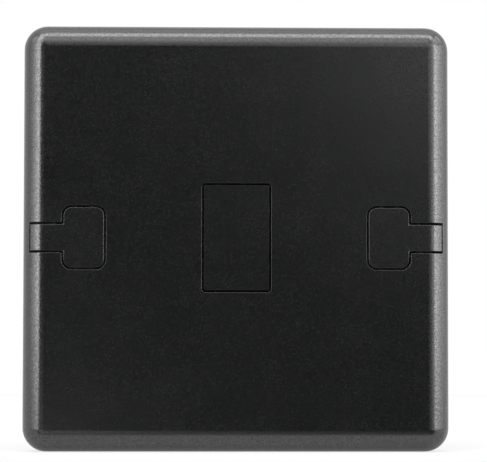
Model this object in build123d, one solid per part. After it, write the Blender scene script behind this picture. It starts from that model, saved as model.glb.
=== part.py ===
from build123d import *
import os

# Blank wall plate for a one-gang flush box: a moulded front plate, a blank insert that fills
# its centre opening, two screw caps that lie flush in T-shaped pockets, and two fixing screws.
# Each piece is drawn lying on its back, front towards +Z and the wall at Z = 0, and is stood
# upright when it is written: front towards -Y, top towards +Z, origin mid-plate on the wall.
# All sizes are in millimetres.

# Front plate: outer form and walls
PLATE_SIDE = 86.0
PLATE_DEPTH = 8.5
FRONT_EDGE_RADIUS = 4.4
FLAT_CORNER_RADIUS = 0.4
SIDE_WALL = 2.0
FACE_WALL = 2.2
WALL_EDGE_CHAMFER = 0.3
RIM_CHAMFER = 0.07

# Fixing screws, and the bosses that carry them
FIXING_CENTRES = 60.3
SCREW_DIAMETER = 3.5
SCREW_NECK_DIAMETER = 3.0
SCREW_LENGTH = 25.0
SCREW_POINT = 0.6
HEAD_DIAMETER = 6.6
HEAD_HEIGHT = 2.1
HEAD_CROWN_HEIGHT = 0.7
HEAD_CROWN_INSET = 1.1
RECESS_SPAN = 3.6
RECESS_SLOT = 0.9
RECESS_DEPTH = 1.2
RECESS_TAPER = 8.0
HOLE_CLEARANCE = 0.35
HEAD_CLEARANCE = 0.4
CAP_TO_HEAD_GAP = 0.3
SEAT_WALL = 2.1
BOSS_WALL = 1.2

# Screw caps and their pockets
CAP_WIDTH = 8.25
CAP_HEIGHT = 12.25
CAP_CORNER_RADIUS = 1.7
CAP_OUTWARD_SHIFT = 0.5
CAP_THICKNESS = 2.5
CAP_CHAMFER = 0.18
CAP_CORE_DEPTH = 1.1
CAP_RIM = 1.3
TONGUE_WIDTH = 5.45
TONGUE_END_GAP = 1.5
TONGUE_END_CLEARANCE = 0.08
CAP_CLEARANCE = 0.32
POCKET_FLOOR = 1.4
POCKET_WALL = 1.2

# Nibs round each cap that grip the walls of its pocket
NIB_RADIUS = 0.4
NIB_SETBACK = 0.4
NIB_CLEARANCE = 0.05
NIB_SPREAD = 0.66

# Centre opening and the blank insert in it
OPENING_WIDTH = 13.9
OPENING_HEIGHT = 21.9
OPENING_CORNER_RADIUS = 0.7
INSERT_CLEARANCE = 0.4
INSERT_FACE = 1.8
INSERT_WALL = 1.3
FLANGE_LAP = 1.5
FLANGE_THICKNESS = 1.2

# Catches and ribs behind the face
CATCH_WIDTH = 8.0
CATCH_THICKNESS = 1.2
CATCH_LIP = 0.7
CATCH_LENGTH = 1.0
CATCH_CLEARANCE = 0.06
RIB_THICKNESS = 1.2
RIB_HEIGHT = 2.5

# Levels above the wall, and places that follow from the sizes above
FACE_REAR = PLATE_DEPTH - FACE_WALL
POCKET_LEVEL = PLATE_DEPTH - CAP_THICKNESS
POCKET_REAR = POCKET_LEVEL - POCKET_FLOOR
SEAT_LEVEL = POCKET_LEVEL - CAP_TO_HEAD_GAP - HEAD_HEIGHT
SEAT_REAR = SEAT_LEVEL - SEAT_WALL
FLANGE_REAR = FACE_REAR - FLANGE_THICKNESS
SCREW_X = FIXING_CENTRES / 2
CAP_X = SCREW_X + CAP_OUTWARD_SHIFT
WELL_RADIUS = HEAD_DIAMETER / 2 + HEAD_CLEARANCE
BOSS_RADIUS = WELL_RADIUS + BOSS_WALL
FLANGE_WIDTH = OPENING_WIDTH + 2 * FLANGE_LAP
FLANGE_HEIGHT = OPENING_HEIGHT + 2 * FLANGE_LAP

TOLERANCE = 0.001
RIGHT = Rotation(0, 0, 0)
LEFT = Rotation(0, 0, 180)
UPRIGHT = Rotation(90, 0, 0)


def prism(outline, low, high):
    """An outline carried straight from one level to another."""
    return extrude(Pos(0, 0, low) * outline, high - low)


def cushion_slab(inset, height):
    """The plate's outer form, or that form taken in by inset: a square slab with a round front edge."""
    side = PLATE_SIDE - 2 * inset
    edge_radius = FRONT_EDGE_RADIUS - inset
    slab = extrude(RectangleRounded(side, side, edge_radius + FLAT_CORNER_RADIUS), height)
    return fillet(slab.faces().sort_by(Axis.Z)[-1].edges(), edge_radius)


def cap_outline(grow=0.0, end_grow=0.0):
    """The right-hand cap's T-shaped outline, body and tongue, grown at its sides and at its end."""
    tongue_end = PLATE_SIDE / 2 - TONGUE_END_GAP + end_grow
    body = RectangleRounded(CAP_WIDTH + 2 * grow, CAP_HEIGHT + 2 * grow, CAP_CORNER_RADIUS + grow)
    tongue = Rectangle(tongue_end - CAP_X, TONGUE_WIDTH + 2 * grow)
    return Pos(CAP_X) * body + Pos((CAP_X + tongue_end) / 2) * tongue


def cap_nibs():
    """Outline of the right-hand cap's nibs: two on each side of its body, one on each side of its tongue."""
    half_width = CAP_WIDTH / 2
    half_height = CAP_HEIGHT / 2
    proud = CAP_CLEARANCE - NIB_CLEARANCE
    sunk = NIB_RADIUS - proud
    along_top = NIB_SPREAD * (half_width - CAP_CORNER_RADIUS)
    along_side = (TONGUE_WIDTH / 2 + half_height - CAP_CORNER_RADIUS) / 2
    along_tongue = (CAP_X + half_width + PLATE_SIDE / 2 - FRONT_EDGE_RADIUS) / 2
    upper = [
        (CAP_X - along_top, half_height - sunk),
        (CAP_X + along_top, half_height - sunk),
        (CAP_X - half_width + sunk, along_side),
        (CAP_X + half_width - sunk, along_side),
        (along_tongue, TONGUE_WIDTH / 2 - sunk),
    ]
    lower = [(x, -y) for x, y in upper]
    return Sketch() + Locations(*upper, *lower) * Circle(NIB_RADIUS)


def rim_lines(outline, grow=0.0):
    """The lines of a cap's outline, or its pocket's, in two groups: the tongue's, then the body's.

    Chamfered one group after the other, the bevels meet in the corners between tongue and body
    on the flat face and on the round edge alike.
    """
    body_side = CAP_X + CAP_WIDTH / 2 + grow + TOLERANCE

    def past_body(line):
        return abs(line.center().X) > body_side

    lines = outline.edges()
    return lines.filter_by(past_body), lines.filter_by(past_body, reverse=True)


def break_rim(part, border, above, size):
    """Chamfers the edges that lie on a border's lines, as seen from the front, and wholly above a level."""
    rim = []
    for edge in part.edges():
        middle = edge @ 0.5
        place = Vertex(middle.X, middle.Y, 0)
        on_border = min(line.distance_to(place) for line in border) < TOLERANCE
        if on_border and edge.bounding_box().min.Z > above:
            rim.append(edge)
    return chamfer(rim, size)


def screw_boss():
    """Right-hand boss: a tube from the pocket to the wall, and a web from it to the side wall."""
    at_screw = Pos(SCREW_X)
    tube = prism(at_screw * Circle(BOSS_RADIUS), 0, POCKET_LEVEL)
    web_length = PLATE_SIDE / 2 - SCREW_X
    web = at_screw * Rectangle(web_length, RIB_THICKNESS, align=(Align.MIN, Align.CENTER))
    return tube + prism(web, FACE_REAR - RIB_HEIGHT, POCKET_LEVEL)


def pocket_backing():
    """Material behind the right-hand pocket, so that its floor and sides keep a full wall."""
    outline = cap_outline(CAP_CLEARANCE + POCKET_WALL, TONGUE_END_CLEARANCE + POCKET_WALL)
    return prism(outline, POCKET_REAR, PLATE_DEPTH)


def screw_way():
    """What is cut for the right-hand screw: head well, clearance hole, and the bore behind the seat."""
    at_screw = Pos(SCREW_X)
    well = prism(at_screw * Circle(WELL_RADIUS), SEAT_LEVEL, POCKET_LEVEL)
    hole = prism(at_screw * Circle(SCREW_DIAMETER / 2 + HOLE_CLEARANCE), SEAT_REAR, SEAT_LEVEL)
    rear_bore = prism(at_screw * Circle(WELL_RADIUS), 0, SEAT_REAR)
    return well + hole + rear_bore


def insert_catch():
    """Right-hand catch: an arm behind the face with a sloped lip that holds the insert's flange."""
    inner = FLANGE_WIDTH / 2 + CATCH_CLEARANCE
    outer = inner + CATCH_THICKNESS
    lip = inner - CATCH_LIP
    hold = FLANGE_REAR - CATCH_CLEARANCE
    tip = hold - CATCH_LENGTH
    profile = Polyline(
        (inner, FACE_REAR),
        (outer, FACE_REAR),
        (outer, tip),
        (inner, tip),
        (lip, hold - CATCH_LIP / 2),
        (lip, hold),
        (inner, hold),
        close=True,
    )
    return extrude(Plane.XZ * make_face(profile), CATCH_WIDTH / 2, both=True)


def stiffening_ribs():
    """Two ribs from side wall to side wall, which also locate the insert's flange."""
    middle = FLANGE_HEIGHT / 2 + CATCH_CLEARANCE + RIB_THICKNESS / 2
    ribs = Sketch() + Locations((0, middle), (0, -middle)) * Rectangle(PLATE_SIDE, RIB_THICKNESS)
    return prism(ribs, FACE_REAR - RIB_HEIGHT, FACE_REAR)


def front_plate():
    """The moulded plate: a shallow open-backed shell with pockets, bosses, catches and ribs."""
    form = cushion_slab(0, PLATE_DEPTH)
    form = chamfer(form.faces().sort_by(Axis.Z)[0].edges(), WALL_EDGE_CHAMFER)
    opening = RectangleRounded(OPENING_WIDTH, OPENING_HEIGHT, OPENING_CORNER_RADIUS)
    form = break_rim(form - prism(opening, 0, PLATE_DEPTH), opening.edges(), FACE_REAR, RIM_CHAMFER)
    kept = stiffening_ribs()
    for side in (RIGHT, LEFT):
        outline = side * cap_outline(CAP_CLEARANCE, TONGUE_END_CLEARANCE)
        form -= prism(outline, POCKET_LEVEL, PLATE_DEPTH)
        for border in rim_lines(outline, CAP_CLEARANCE):
            form = break_rim(form, border, POCKET_LEVEL + RIM_CHAMFER, RIM_CHAMFER)
        kept += side * (pocket_backing() + screw_boss() + insert_catch())
    plate = form - (cushion_slab(SIDE_WALL, FACE_REAR) - kept)
    for side in (RIGHT, LEFT):
        plate -= side * screw_way()
    return plate


def blank_insert():
    """The blank that fills the centre opening: a cored lid with a flange behind the face."""
    width = OPENING_WIDTH - 2 * INSERT_CLEARANCE
    height = OPENING_HEIGHT - 2 * INSERT_CLEARANCE
    outline = RectangleRounded(width, height, OPENING_CORNER_RADIUS - INSERT_CLEARANCE)
    core = Rectangle(width - 2 * INSERT_WALL, height - 2 * INSERT_WALL)
    lid = prism(outline, FLANGE_REAR, PLATE_DEPTH)
    flange = prism(Rectangle(FLANGE_WIDTH, FLANGE_HEIGHT), FLANGE_REAR, FACE_REAR)
    return lid + flange - prism(core, FLANGE_REAR, PLATE_DEPTH - INSERT_FACE)


def screw_cap():
    """The right-hand cap: flush with the plate's front and edge, cored below, nibs round its sides."""
    outline = cap_outline()
    cap = prism(outline, POCKET_LEVEL, PLATE_DEPTH) & cushion_slab(0, PLATE_DEPTH)
    for border in rim_lines(outline):
        cap = break_rim(cap, border, POCKET_LEVEL + CAP_CHAMFER, CAP_CHAMFER)
    cap += prism(cap_nibs(), POCKET_LEVEL, PLATE_DEPTH - NIB_SETBACK)
    core = Pos(CAP_X) * Rectangle(CAP_WIDTH - 2 * CAP_RIM, CAP_HEIGHT - 2 * CAP_RIM)
    return cap - prism(core, POCKET_LEVEL, POCKET_LEVEL + CAP_CORE_DEPTH)


def fixing_screw():
    """One pan-head machine screw at the right-hand fixing centre, its thread left as a plain bar."""
    at_screw = Pos(SCREW_X)
    head_top = SEAT_LEVEL + HEAD_HEIGHT
    shank_end = SEAT_LEVEL - SCREW_LENGTH
    head = prism(at_screw * Circle(HEAD_DIAMETER / 2), SEAT_LEVEL, head_top)
    head = chamfer(head.faces().sort_by(Axis.Z)[-1].edges(), HEAD_CROWN_HEIGHT, HEAD_CROWN_INSET)
    neck = prism(at_screw * Circle(SCREW_NECK_DIAMETER / 2), SEAT_REAR, SEAT_LEVEL)
    thread = prism(at_screw * Circle(SCREW_DIAMETER / 2), shank_end, SEAT_REAR)
    thread = chamfer(thread.faces().sort_by(Axis.Z)[0].edges(), SCREW_POINT)
    slot = Pos(SCREW_X, 0, head_top) * Rectangle(RECESS_SPAN, RECESS_SLOT)
    cross_slot = Pos(SCREW_X, 0, head_top) * Rectangle(RECESS_SLOT, RECESS_SPAN)
    recess = extrude(slot, -RECESS_DEPTH, taper=RECESS_TAPER)
    recess += extrude(cross_slot, -RECESS_DEPTH, taper=RECESS_TAPER)
    return head + neck + thread - recess


def main():
    """Builds every piece, stands it upright and writes it to its own file."""
    cap = screw_cap()
    screw = fixing_screw()
    pieces = {
        "front_plate": front_plate(),
        "blank_insert": blank_insert(),
        "right_screw_cap": cap,
        "left_screw_cap": LEFT * cap,
        "fixing_screws": Compound([screw, LEFT * screw]),
    }
    os.makedirs("parts", exist_ok=True)
    for name, piece in pieces.items():
        export_step(UPRIGHT * piece, f"parts/{name}.step")


main()
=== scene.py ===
import logging
import math
from abc import ABC, abstractmethod
from dataclasses import dataclass, field
from enum import Enum

import bpy
import numpy as np
from mathutils import Matrix, Vector


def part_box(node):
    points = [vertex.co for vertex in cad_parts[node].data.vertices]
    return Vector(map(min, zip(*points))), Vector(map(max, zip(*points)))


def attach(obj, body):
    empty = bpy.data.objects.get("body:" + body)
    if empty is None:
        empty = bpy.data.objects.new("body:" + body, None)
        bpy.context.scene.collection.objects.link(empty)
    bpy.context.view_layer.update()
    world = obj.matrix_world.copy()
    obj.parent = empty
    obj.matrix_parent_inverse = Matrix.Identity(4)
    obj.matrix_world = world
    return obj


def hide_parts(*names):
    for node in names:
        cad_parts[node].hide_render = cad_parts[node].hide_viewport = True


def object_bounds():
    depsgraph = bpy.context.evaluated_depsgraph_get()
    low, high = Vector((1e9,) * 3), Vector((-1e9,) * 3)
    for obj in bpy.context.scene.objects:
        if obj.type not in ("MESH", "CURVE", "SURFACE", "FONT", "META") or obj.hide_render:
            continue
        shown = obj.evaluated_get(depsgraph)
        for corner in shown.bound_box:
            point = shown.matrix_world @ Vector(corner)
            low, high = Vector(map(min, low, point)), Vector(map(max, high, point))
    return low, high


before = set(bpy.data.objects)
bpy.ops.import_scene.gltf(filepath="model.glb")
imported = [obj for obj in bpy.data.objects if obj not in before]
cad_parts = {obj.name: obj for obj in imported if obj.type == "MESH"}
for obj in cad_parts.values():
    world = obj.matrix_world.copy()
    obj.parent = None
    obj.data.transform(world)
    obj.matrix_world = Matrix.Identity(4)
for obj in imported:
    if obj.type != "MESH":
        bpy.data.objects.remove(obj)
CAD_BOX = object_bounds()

# A square black wall plate with a blank insert and two screw caps, in a white studio. The frame holds the
# mouldings, which are dressed here, and the two screws are made here. Lengths are metres, angles degrees.
MM = 0.001
FULL_TURN = 2.0 * math.pi
PHOTO_WIDTH_PX = 487
SENSOR_WIDTH_MM = 36.0

Socket = bpy.types.NodeSocket
Colour = tuple[float, float, float]
Span = tuple[float, float]

log = logging.getLogger("blank_wall_plate")


class Graph:
    """A node tree with short calls for adding nodes and joining them."""

    def __init__(self, tree: bpy.types.NodeTree) -> None:
        """Takes the tree of a material or of the world, and empties it."""
        self.tree = tree
        tree.nodes.clear()

    def node(self, kind: str, inputs: dict[str | int, object] | None = None,
             **settings: object) -> bpy.types.Node:
        """Adds one node.

        Args:
            kind: The node's Blender type.
            inputs: What goes to its sockets, by name or number: a value, or the socket to link from.
            settings: The node's own properties.

        Returns:
            The new node.
        """
        made = self.tree.nodes.new(kind)
        for name, value in settings.items():
            setattr(made, name, value)
        for key, value in (inputs or {}).items():
            if isinstance(value, Socket):
                self.tree.links.new(value, made.inputs[key])
            else:
                made.inputs[key].default_value = value
        return made

    def place(self) -> Socket:
        """Adds a Texture Coordinate node and returns its Object coordinates."""
        return self.node("ShaderNodeTexCoord").outputs["Object"]

    def noise(self, place: Socket, size: float, detail: float = 2.0) -> Socket:
        """Adds a noise of lumps about size metres across and returns it, from 0 to 1 about one half."""
        inputs = {"Vector": place, "Scale": 1.0 / size, "Detail": detail}
        return self.node("ShaderNodeTexNoise", inputs).outputs["Fac"]

    def maths(self, operation: str, first: object, second: object) -> Socket:
        """Adds a Math node on two values or sockets and returns its output."""
        return self.node("ShaderNodeMath", {0: first, 1: second}, operation=operation).outputs[0]

    def mix(self, share: Socket, first: object, second: object) -> Socket:
        """Adds a mix of two values or sockets and returns it: all of the second where share is 1."""
        return self.node("ShaderNodeMix", {0: share, 2: first, 3: second}).outputs[0]

    def ramp(self, value: Socket, band: Span, low: float, high: float, smooth: bool = False) -> Socket:
        """Maps a band of values to another range, clamped.

        Args:
            value: The socket to read.
            band: Start and end of the band that is read.
            low: The result at the band's start.
            high: The result at the band's end.
            smooth: Whether the change eases in and out.

        Returns:
            The socket with the mapped value.
        """
        inputs = {"Value": value, "From Min": band[0], "From Max": band[1], "To Min": low, "To Max": high}
        kind = "SMOOTHSTEP" if smooth else "LINEAR"
        return self.node("ShaderNodeMapRange", inputs, interpolation_type=kind).outputs["Result"]

    def tint(self, colour: Colour, level: Socket) -> Socket:
        """Adds a colour times a level and returns it."""
        scaled = self.node("ShaderNodeVectorMath", {0: colour, "Scale": level}, operation="SCALE")
        return scaled.outputs["Vector"]

    def bump(self, height: Socket, depth: float, below: Socket | None = None) -> Socket:
        """Adds a bump.

        Args:
            height: The height to read, from 0 to 1.
            depth: What a height of 1 stands for.
            below: The normal that the bump lies on, where it isn't the surface's own.

        Returns:
            The bumped normal.
        """
        inputs = {"Height": height, "Strength": 1.0, "Distance": depth}
        if below is not None:
            inputs["Normal"] = below
        return self.node("ShaderNodeBump", inputs).outputs["Normal"]

    def rays(self) -> tuple[Socket, Socket]:
        """Tells arriving rays apart.

        Returns:
            Two sockets: 1 on the camera's own rays, and 1 on the rays of gloss and glass.
        """
        path = self.node("ShaderNodeLightPath").outputs
        mirrored = self.maths("MAXIMUM", path["Is Glossy Ray"], path["Is Transmission Ray"])
        return path["Is Camera Ray"], mirrored


def grey(level: float) -> tuple[float, float, float, float]:
    """Gives a neutral colour with full alpha."""
    return (level, level, level, 1.0)


@dataclass(frozen=True)
class Finish(ABC):
    """A finish by name; each kind of finish gives its own surface."""

    name: str

    @abstractmethod
    def surface(self, graph: Graph) -> Socket:
        """Adds the finish's nodes.

        Args:
            graph: The material's nodes.

        Returns:
            The shader that they end in.
        """

    def material(self) -> bpy.types.Material:
        """Builds the material.

        Returns:
            A new material of the finish's name, with the finish's surface at its output.
        """
        made = bpy.data.materials.new(self.name)
        made.use_nodes = True
        graph = Graph(made.node_tree)
        graph.node("ShaderNodeOutputMaterial", {"Surface": self.surface(graph)})
        return made


@dataclass(frozen=True)
class SparkedPlastic(Finish):
    """Satin black plastic from a spark-eroded mould: fine pitted grain, soft gloss patches, pale specks.

    The size of a speck is a share of the specks' spacing. Tint and gloss are darkened to a set share where
    other surfaces close the plastic in, as in a narrow gap: painted shade, found by ambient occlusion.
    """

    colour: Colour
    roughness: float = 0.23
    refraction: float = 1.7
    specular: float = 0.6
    noise_band: Span = (0.3, 0.7)
    grain: float = 0.31 * MM
    fine_grain: float = 0.14 * MM
    coarse_share: float = 0.7
    grain_height: float = 0.013 * MM
    grain_roughness: float = 0.055
    grain_gloss: float = 0.30
    grain_tint: float = 0.2
    patch: float = 9.0 * MM
    patch_detail: float = 4.0
    patch_roughness: float = 0.01
    speck_spacing: float = 1.5 * MM
    speck_size: float = 0.10
    speck_lift: float = 1.9
    edge_round: float = 0.06 * MM
    edge_samples: int = 6
    # Painted shade in gaps: the share of tint and gloss kept deep in a gap, and the reach, band and
    # samples of the ambient occlusion that finds the gap.
    painted_shade_share: float = 1.0
    painted_shade_reach: float = 0.6 * MM
    painted_shade_band: Span = (0.35, 0.75)
    painted_shade_samples: int = 8

    def surface(self, graph: Graph) -> Socket:
        """Builds the plastic on Object coordinates.

        Args:
            graph: The material's nodes.

        Returns:
            The shader, with the grain in its bump, roughness, gloss and tint.
        """
        place = graph.place()
        grain = graph.noise(place, self.grain)
        fine = graph.noise(place, self.fine_grain)
        patches = graph.noise(place, self.patch, self.patch_detail)

        coarse_height = graph.maths("MULTIPLY", grain, self.coarse_share)
        fine_height = graph.maths("MULTIPLY", fine, 1.0 - self.coarse_share)
        height = graph.maths("ADD", coarse_height, fine_height)
        edges = graph.node("ShaderNodeBevel", {"Radius": self.edge_round}, samples=self.edge_samples)

        satin = graph.ramp(patches, self.noise_band, self.roughness - self.patch_roughness,
                           self.roughness + self.patch_roughness)
        pitted = graph.ramp(grain, self.noise_band, -self.grain_roughness, self.grain_roughness)
        gloss = graph.ramp(grain, self.noise_band, self.specular * (1.0 + self.grain_gloss),
                           self.specular * (1.0 - self.grain_gloss))

        cells = graph.node("ShaderNodeTexVoronoi", {"Vector": place, "Scale": 1.0 / self.speck_spacing},
                           feature="F1")
        speck = graph.ramp(cells.outputs["Distance"], (0.0, self.speck_size), self.speck_lift, 1.0, True)
        mottle = graph.ramp(grain, self.noise_band, 1.0 - self.grain_tint, 1.0 + self.grain_tint)
        level = graph.maths("MULTIPLY", mottle, speck)
        # Painted shade: tint and gloss are darkened where ambient occlusion finds a narrow gap.
        if self.painted_shade_share < 1.0:
            painted_shade_level = self.add_painted_gap_shade(graph)
            level = graph.maths("MULTIPLY", level, painted_shade_level)
            gloss = graph.maths("MULTIPLY", gloss, painted_shade_level)

        shader = graph.node("ShaderNodeBsdfPrincipled", {
            "Base Color": graph.tint(self.colour, level),
            "Roughness": graph.maths("ADD", satin, pitted),
            "IOR": self.refraction,
            "Specular IOR Level": gloss,
            "Normal": graph.bump(height, self.grain_height, edges.outputs["Normal"]),
        })
        return shader.outputs["BSDF"]

    def add_painted_gap_shade(self, graph: Graph) -> Socket:
        """Adds painted shade from ambient occlusion and returns it as the share of tint and gloss to keep:
        1 in the open, the set share in a narrow gap.
        """
        occlusion = graph.node("ShaderNodeAmbientOcclusion", {"Distance": self.painted_shade_reach},
                          samples=self.painted_shade_samples)
        return graph.ramp(occlusion.outputs["AO"], self.painted_shade_band, self.painted_shade_share, 1.0)


@dataclass(frozen=True)
class ZincPlate(Finish):
    """Bright zinc on steel: a pale metal with faint cloudy patches and a fine scratched relief."""

    colour: Colour
    cloud: float = 1.2 * MM
    cloud_band: Span = (0.25, 0.75)
    cloud_tint: Span = (0.82, 1.12)
    cloud_roughness: Span = (0.24, 0.42)
    scratch: float = 0.12 * MM
    scratch_height: float = 0.002 * MM
    detail: float = 3.0

    def surface(self, graph: Graph) -> Socket:
        """Builds the zinc on Object coordinates.

        Args:
            graph: The material's nodes.

        Returns:
            The shader, a metal with clouded colour and roughness and a scratched bump.
        """
        place = graph.place()
        clouds = graph.noise(place, self.cloud, self.detail)
        scratches = graph.noise(place, self.scratch, self.detail)
        shader = graph.node("ShaderNodeBsdfPrincipled", {
            "Base Color": graph.tint(self.colour, graph.ramp(clouds, self.cloud_band, *self.cloud_tint)),
            "Metallic": 1.0,
            "Roughness": graph.ramp(clouds, self.cloud_band, *self.cloud_roughness),
            "Normal": graph.bump(scratches, self.scratch_height),
        })
        return shader.outputs["BSDF"]


@dataclass(frozen=True)
class PaleFloor(Finish):
    """Matt white paper: white to the camera apart from the object's soft shadow."""

    name: str = "floor_paper"
    colour: float = 0.80
    glow: float = 0.70
    shadow_share: float = 0.19
    mirrored_glow: float = 0.42
    mirrored_share: float = 0.32

    def surface(self, graph: Graph) -> Socket:
        """Builds the paper.

        Args:
            graph: The material's nodes.

        Returns:
            The shader: plain paper to bounced light, and lit paper to the camera and in gloss.
        """
        paper = graph.node("ShaderNodeBsdfDiffuse", {"Color": grey(self.colour)}).outputs[0]
        seen = self.lit_paper(graph, self.glow, self.shadow_share)
        mirrored = self.lit_paper(graph, self.mirrored_glow, self.mirrored_share)
        to_camera, in_gloss = graph.rays()
        bounced = graph.node("ShaderNodeMixShader", {0: in_gloss, 1: paper, 2: mirrored}).outputs[0]
        return graph.node("ShaderNodeMixShader", {0: to_camera, 1: bounced, 2: seen}).outputs[0]

    @staticmethod
    def lit_paper(graph: Graph, glow: float, share: float) -> Socket:
        """Adds paper that glows evenly and keeps only a share of its shading.

        Args:
            graph: The material's nodes.
            glow: Strength of the even glow.
            share: How much of the light on the paper, and so of a shadow on it, is added to the glow.

        Returns:
            The sum of glow and shading.
        """
        even = graph.node("ShaderNodeEmission", {"Strength": glow}).outputs[0]
        shade = graph.node("ShaderNodeBsdfDiffuse", {"Color": grey(share)}).outputs[0]
        return graph.node("ShaderNodeAddShader", {0: even, 1: shade}).outputs[0]


class Black(Enum):
    """The black finishes of the mouldings: one plastic, moulded in three tools."""

    PLATE = SparkedPlastic("plate_satin_black", (0.0020, 0.0023, 0.0022))
    # The insert gets painted shade: its tint and gloss darken in the gap round it.
    INSERT = SparkedPlastic("insert_satin_black", (0.0024, 0.0027, 0.0026),
                            edge_round=0.02 * MM, painted_shade_share=0.05)
    CAP = SparkedPlastic("cap_satin_black", (0.0036, 0.0039, 0.0038))


def add_object(name: str, data: bpy.types.ID) -> bpy.types.Object:
    """Adds an object to the scene.

    Args:
        name: The object's name.
        data: Its mesh, lamp or camera.

    Returns:
        The new object, at the origin.
    """
    made = bpy.data.objects.new(name, data)
    bpy.context.scene.collection.objects.link(made)
    return made


def piece_of_rings(name: str, surfaces: list[np.ndarray], crease_angle: float = 32.0) -> bpy.types.Object:
    """Makes one piece from grids of rings, each round in its second direction and closed at its ends.

    Args:
        name: The piece's name.
        surfaces: Points as arrays of rings by sides by three.
        crease_angle: Edges that bend by more than this shade as creases.

    Returns:
        The new object, at the origin.
    """
    points = []
    faces = []
    first = 0
    for grid in surfaces:
        rings, sides, _ = grid.shape
        index = first + np.arange(rings * sides).reshape(rings, sides)
        beside = np.roll(index, -1, axis=1)
        quads = np.stack([index[:-1], index[1:], beside[1:], beside[:-1]], axis=2).reshape(-1, 4)
        faces += quads.tolist() + [index[0].tolist(), index[-1][::-1].tolist()]
        points.append(grid.reshape(-1, 3))
        first += rings * sides
    mesh = bpy.data.meshes.new(name)
    mesh.from_pydata(np.concatenate(points).tolist(), [], faces)
    mesh.set_sharp_from_angle(angle=math.radians(crease_angle))
    mesh.update()
    return add_object(name, mesh)


@dataclass
class Moulding:
    """A plastic moulding that the frame already holds in its true shape."""

    node: str
    finish: Black
    piece: bpy.types.Object = field(init=False)

    def build(self) -> bpy.types.Object:
        """Takes the moulding from the frame and returns its object."""
        self.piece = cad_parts[self.node]
        return self.piece

    def dress(self) -> None:
        """Gives the moulding its black finish."""
        self.piece.data.materials.clear()
        self.piece.data.materials.append(self.finish.value.material())


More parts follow.
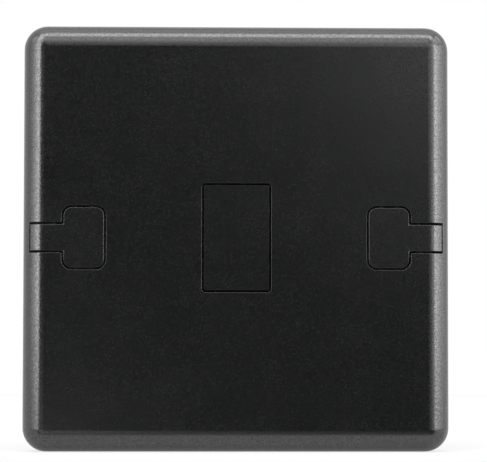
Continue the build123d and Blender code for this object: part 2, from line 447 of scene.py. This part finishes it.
@dataclass
class FixingScrews:
    """The two machine screws under the caps, with domed heads, cross recesses and cut threads."""

    node: str = "fixing_screws"
    body: str = "plate"
    slot: str = "screw_steel"
    finish: ZincPlate = ZincPlate("screw_bright_zinc", (0.62, 0.61, 0.57))

    head_radius: float = 3.3 * MM
    head_height: float = 2.1 * MM
    crown_height: float = 1.25 * MM
    crown_power: float = 2.6
    under_bevel: float = 0.03 * MM
    recess_span: float = 3.6 * MM
    recess_width: float = 0.9 * MM
    recess_depth: float = 1.2 * MM
    recess_slope: float = 0.12 * MM
    recess_fall: float = 0.5

    neck_radius: float = 1.5 * MM
    neck_length: float = 2.1 * MM
    neck_in_head: float = 0.3 * MM
    thread_radius: float = 1.75 * MM
    thread_pitch: float = 0.6 * MM
    point_length: float = 0.6 * MM
    # Shares of the pitch.
    root_flat: float = 0.25
    crest_flat: float = 0.125
    thread_depth: float = 0.6134

    # Rings of the head: shares of the quarter turn from pole to rim, then shares of the radius underneath.
    recess_turn: Span = (0.02, 0.62)
    recess_rings: int = 44
    rim_turn: Span = (0.64, 1.0)
    rim_rings: int = 22
    under_radii: tuple[float, ...] = (1.0, 0.98, 0.5, 0.02)
    head_sides: int = 144
    shank_sides: int = 40
    rings_per_turn: int = 12

    spread: float = field(init=False)
    seat: float = field(init=False)
    tip: float = field(init=False)
    piece: bpy.types.Object = field(init=False)

    def __post_init__(self) -> None:
        """Reads from the frame where the two screws stand and how far they reach."""
        low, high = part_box(self.node)
        self.spread = high.x - self.head_radius
        self.seat = low.y + self.head_height
        self.tip = high.y

    def head(self) -> np.ndarray:
        """One head as a grid of rings, from the crown's middle over the rim to the underside's middle.

        The crown is a quarter of a superellipse turned about the axis. The recess is cut from its height:
        a cross of two slots with sloped walls, deepest in the middle.

        Returns:
            Points as an array of rings by sides by three, about the origin.
        """
        over_recess = np.linspace(*self.recess_turn, self.recess_rings)
        to_rim = np.linspace(*self.rim_turn, self.rim_rings)
        turn = np.concatenate([over_recess, to_rim]) * math.pi / 2
        round_off = 2.0 / self.crown_power
        crown = self.head_radius * np.sin(turn) ** round_off
        rise = self.crown_height * np.clip(np.cos(turn), 0.0, 1.0) ** round_off
        under = np.array(self.under_radii) * self.head_radius
        radius = np.concatenate([crown, under])[:, None]
        angle = np.linspace(0.0, FULL_TURN, self.head_sides, endpoint=False)[None, :]
        across = radius * np.cos(angle)
        upright = radius * np.sin(angle)

        near = np.minimum(np.abs(across), np.abs(upright))
        far = np.maximum(np.abs(across), np.abs(upright))
        in_slot = np.clip((self.recess_width / 2 - near) / self.recess_slope, 0.0, 1.0)
        in_span = np.clip((self.recess_span / 2 - far) / self.recess_slope, 0.0, 1.0)
        floor = self.recess_depth * (1.0 - self.recess_fall * far / (self.recess_span / 2))

        side = self.head_height - self.crown_height
        top = side + rise[:, None] - (in_slot * in_span * floor)[:len(rise)]
        base = np.zeros((len(under), self.head_sides))
        base[0] = self.under_bevel
        level = np.concatenate([top, base])
        return np.stack([across, self.seat - level, upright], axis=2)

    def shank(self) -> np.ndarray:
        """One neck and thread as a grid of rings along the axis.

        The radius is a plain neck, then a thread: the distance along the axis less the share of the turn
        gives a phase, and the flank rises and falls straight over each phase, between a root flat and a
        crest flat.

        Returns:
            Points as an array of rings by sides by three, about the origin.
        """
        start = self.seat - self.neck_in_head
        turns = (self.tip - start) / self.thread_pitch
        along = np.linspace(start, self.tip, int(turns * self.rings_per_turn))[:, None]
        angle = np.linspace(0.0, FULL_TURN, self.shank_sides, endpoint=False)[None, :]

        phase = np.mod(along / self.thread_pitch - angle / FULL_TURN, 1.0)
        zigzag = 1.0 - np.abs(2.0 * phase - 1.0)
        flank = np.clip((zigzag - self.root_flat) / (1.0 - self.root_flat - self.crest_flat), 0.0, 1.0)
        run_in = np.clip((along - self.seat - self.neck_length) / self.thread_pitch, 0.0, 1.0)
        root_radius = self.thread_radius - self.thread_depth * self.thread_pitch
        root = self.neck_radius + (root_radius - self.neck_radius) * run_in
        thread = root + flank * run_in * (self.thread_radius - root)
        point = self.thread_radius - np.clip(along - (self.tip - self.point_length), 0.0, None)
        radius = np.minimum(thread, point)
        along = np.broadcast_to(along, radius.shape)
        return np.stack([radius * np.cos(angle), along, radius * np.sin(angle)], axis=2)

    def build(self) -> bpy.types.Object:
        """Builds both screws as one piece.

        Returns:
            The piece, which stands for the frame's plain screws.
        """
        surfaces = []
        for sign in (-1.0, 1.0):
            shift = np.array([sign * self.spread, 0.0, 0.0])
            surfaces += [self.head() + shift, self.shank() + shift]
        self.piece = piece_of_rings("threaded_fixing_screws", surfaces)
        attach(self.piece, self.body)
        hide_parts(self.node)
        return self.piece

    def dress(self) -> None:
        """Gives the screws their zinc finish."""
        self.piece.data.materials.append(self.finish.material())


def heading(azimuth: float, elevation: float) -> Vector:
    """Turns two angles into the way from the plate to what it sees there.

    Args:
        azimuth: From straight in front of the face to the right, as seen from in front.
        elevation: From level upwards.

    Returns:
        The unit vector (sin a cos e, -cos a cos e, sin e).
    """
    turn = math.radians(azimuth)
    lift = math.radians(elevation)
    return Vector((math.sin(turn) * math.cos(lift), -math.cos(turn) * math.cos(lift), math.sin(lift)))


@dataclass(frozen=True)
class Softbox:
    """A soft studio lamp, placed by the angles at which the plate sees it."""

    name: str
    azimuth: float
    elevation: float
    width: float
    height: float
    radiance: float
    distance: float = 1.2

    def build(self) -> None:
        """Makes the lamp, turned towards the plate."""
        lamp = bpy.data.lights.new(self.name, "AREA")
        lamp.shape = "RECTANGLE"
        lamp.size = self.width
        lamp.size_y = self.height
        lamp.energy = self.radiance * math.pi * self.width * self.height
        away = heading(self.azimuth, self.elevation)
        turned = away.to_track_quat("Z", "Y").to_matrix().to_4x4()
        add_object(self.name, lamp).matrix_world = Matrix.Translation(away * self.distance) @ turned


@dataclass(frozen=True)
class SideBank:
    """A row of tall soft strips round one side of the plate, each dimmer than the one nearer the lens."""

    name: str
    first_azimuth: float
    last_azimuth: float
    strips: int
    radiance: float
    fall: float
    elevation: float = 10.0
    width: float = 0.26
    height: float = 0.64

    def build(self) -> None:
        """Makes the strips at even angles; their radiance falls to nothing just past the last one."""
        for number in range(self.strips):
            share = number / (self.strips - 1)
            azimuth = self.first_azimuth + share * (self.last_azimuth - self.first_azimuth)
            level = self.radiance * (1.0 - number / self.strips) ** self.fall
            name = f"{self.name}_{number + 1}"
            Softbox(name, azimuth, self.elevation, self.width, self.height, level).build()


@dataclass
class Studio:
    """The floor, the lamps, the white surround and the camera."""

    floor_finish: PaleFloor = PaleFloor()
    floor_reach: float = 0.40
    floor_front: float = 0.0155
    floor_lines: int = 3

    # Levels of the surround, and the angles off straight ahead between which its dim opening fades out.
    backdrop: float = 1.0
    tent: float = 0.88
    opening: float = 0.015
    opening_core: float = 20.0
    opening_edge: float = 110.0

    camera_distance: float = 450.0 * MM
    camera_azimuth: float = -1.144
    camera_elevation: float = -2.386
    camera_roll: float = 0.084
    camera_clip: float = 10.0 * MM
    aim_across: float = 1.389 * MM
    aim_up: float = 1.345 * MM
    focal_px: float = 2200.2

    # A bank has its first and last azimuth, strips, radiance and fall. A softbox has its azimuth,
    # elevation, width, height and radiance.
    lamps: tuple[Softbox | SideBank, ...] = (
        SideBank("left_strip", -35.0, -95.0, 6, 5.9, 2.2, elevation=11.0),
        SideBank("right_strip", 44.0, 116.0, 7, 5.8, 1.9),
        Softbox("right_edge_board", 29.0, 14.0, 0.26, 0.80, 1.6),
        Softbox("upper_front_rim", 6.0, 27.0, 0.66, 0.26, 1.0),
        Softbox("upper_front_board", 0.0, 44.0, 0.80, 0.46, 1.9),
        Softbox("overhead_softbox", 0.0, 70.0, 1.40, 0.46, 4.5),
        Softbox("upper_rear_board", 0.0, 96.0, 1.40, 0.50, 0.7),
        Softbox("upper_left_board", -75.0, 40.0, 0.60, 0.50, 1.8),
        Softbox("upper_right_board", 82.0, 42.0, 0.80, 0.50, 1.9),
        Softbox("upper_left_corner_board", -42.0, 40.0, 0.52, 0.56, 4.4),
        Softbox("upper_right_corner_board", 52.0, 40.0, 0.52, 0.56, 2.2),
        Softbox("upper_right_fill", 15.0, 15.0, 0.34, 0.34, 0.95),
        Softbox("lower_left_fill", -14.0, -13.0, 0.30, 0.24, 1.6),
        Softbox("lower_front_board", -4.0, -30.0, 0.80, 0.60, 0.3),
        Softbox("lower_left_board", -52.0, -18.0, 0.80, 0.34, 0.7),
        Softbox("lower_right_board", 62.0, -18.0, 0.80, 0.34, 0.8),
        Softbox("lower_left_corner_board", -50.0, -42.0, 0.60, 0.44, 0.2),
        Softbox("lower_right_corner_board", 56.0, -42.0, 0.60, 0.44, 0.3),
    )

    def floor(self) -> None:
        """Lays the floor under the plate's lower edge: a grid of points across and back, on one level."""
        across, back = np.meshgrid(np.linspace(-self.floor_reach, self.floor_reach, self.floor_lines),
                                   np.linspace(-self.floor_front, self.floor_reach, self.floor_lines))
        points = np.stack([across, back, np.full_like(across, CAD_BOX[0].z)], axis=2)
        index = np.arange(across.size).reshape(across.shape)
        quads = np.stack([index[:-1, :-1], index[:-1, 1:], index[1:, 1:], index[1:, :-1]], axis=2)
        mesh = bpy.data.meshes.new("paper_floor")
        mesh.from_pydata(points.reshape(-1, 3).tolist(), [], quads.reshape(-1, 4).tolist())
        mesh.materials.append(self.floor_finish.material())
        made = add_object("paper_floor", mesh)

    def surroundings(self) -> None:
        """Sets the world: plain white to the camera, and else a white tent with a dim opening in front."""
        world = bpy.data.worlds.new("white_tent")
        world.use_nodes = True
        bpy.context.scene.world = world
        graph = Graph(world.node_tree)
        direction = graph.node("ShaderNodeTexCoord").outputs["Generated"]
        ahead = graph.node("ShaderNodeSeparateXYZ", {0: direction}).outputs["Y"]
        fade = (-math.cos(math.radians(self.opening_core)), -math.cos(math.radians(self.opening_edge)))
        lit = graph.ramp(ahead, fade, self.opening, self.tent, True)
        mirrored = graph.ramp(ahead, fade, self.opening, self.backdrop, True)
        to_camera, in_gloss = graph.rays()
        level = graph.mix(to_camera, graph.mix(in_gloss, lit, mirrored), self.backdrop)
        sky = graph.node("ShaderNodeBackground", {"Color": grey(1.0), "Strength": level})
        graph.node("ShaderNodeOutputWorld", {"Surface": sky.outputs[0]})

    def camera(self) -> None:
        """Sets the camera where the photograph was taken from."""
        lens = bpy.data.cameras.new("photo_camera")
        lens.sensor_fit = "HORIZONTAL"
        lens.sensor_width = SENSOR_WIDTH_MM
        lens.lens = self.focal_px * SENSOR_WIDTH_MM / PHOTO_WIDTH_PX
        lens.clip_start = self.camera_clip
        place = heading(self.camera_azimuth, self.camera_elevation) * self.camera_distance
        aim = Vector((self.aim_across, CAD_BOX[0].y, self.aim_up))
        turned = (aim - place).to_track_quat("-Z", "Y").to_matrix().to_4x4()
        roll = Matrix.Rotation(math.radians(self.camera_roll), 4, "Z")
        made = add_object("photo_camera", lens)
        made.matrix_world = Matrix.Translation(place) @ turned @ roll
        bpy.context.scene.camera = made

    def build(self) -> None:
        """Builds the whole studio."""
        self.floor()
        self.surroundings()
        for lamp in self.lamps:
            lamp.build()
        self.camera()
        bpy.context.scene.view_settings.view_transform = "Standard"


def main() -> None:
    """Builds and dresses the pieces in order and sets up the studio."""
    logging.basicConfig(level=logging.INFO, format="%(message)s")
    parts: list[Moulding | FixingScrews] = [
        Moulding("front_plate", Black.PLATE),
        Moulding("blank_insert", Black.INSERT),
        Moulding("left_screw_cap", Black.CAP),
        Moulding("right_screw_cap", Black.CAP),
        FixingScrews(),
    ]
    for part in parts:
        piece = part.build()
        part.dress()
        log.info("%s: %d faces", piece.name, len(piece.data.polygons))
    Studio().build()


if __name__ == "__main__":
    main()
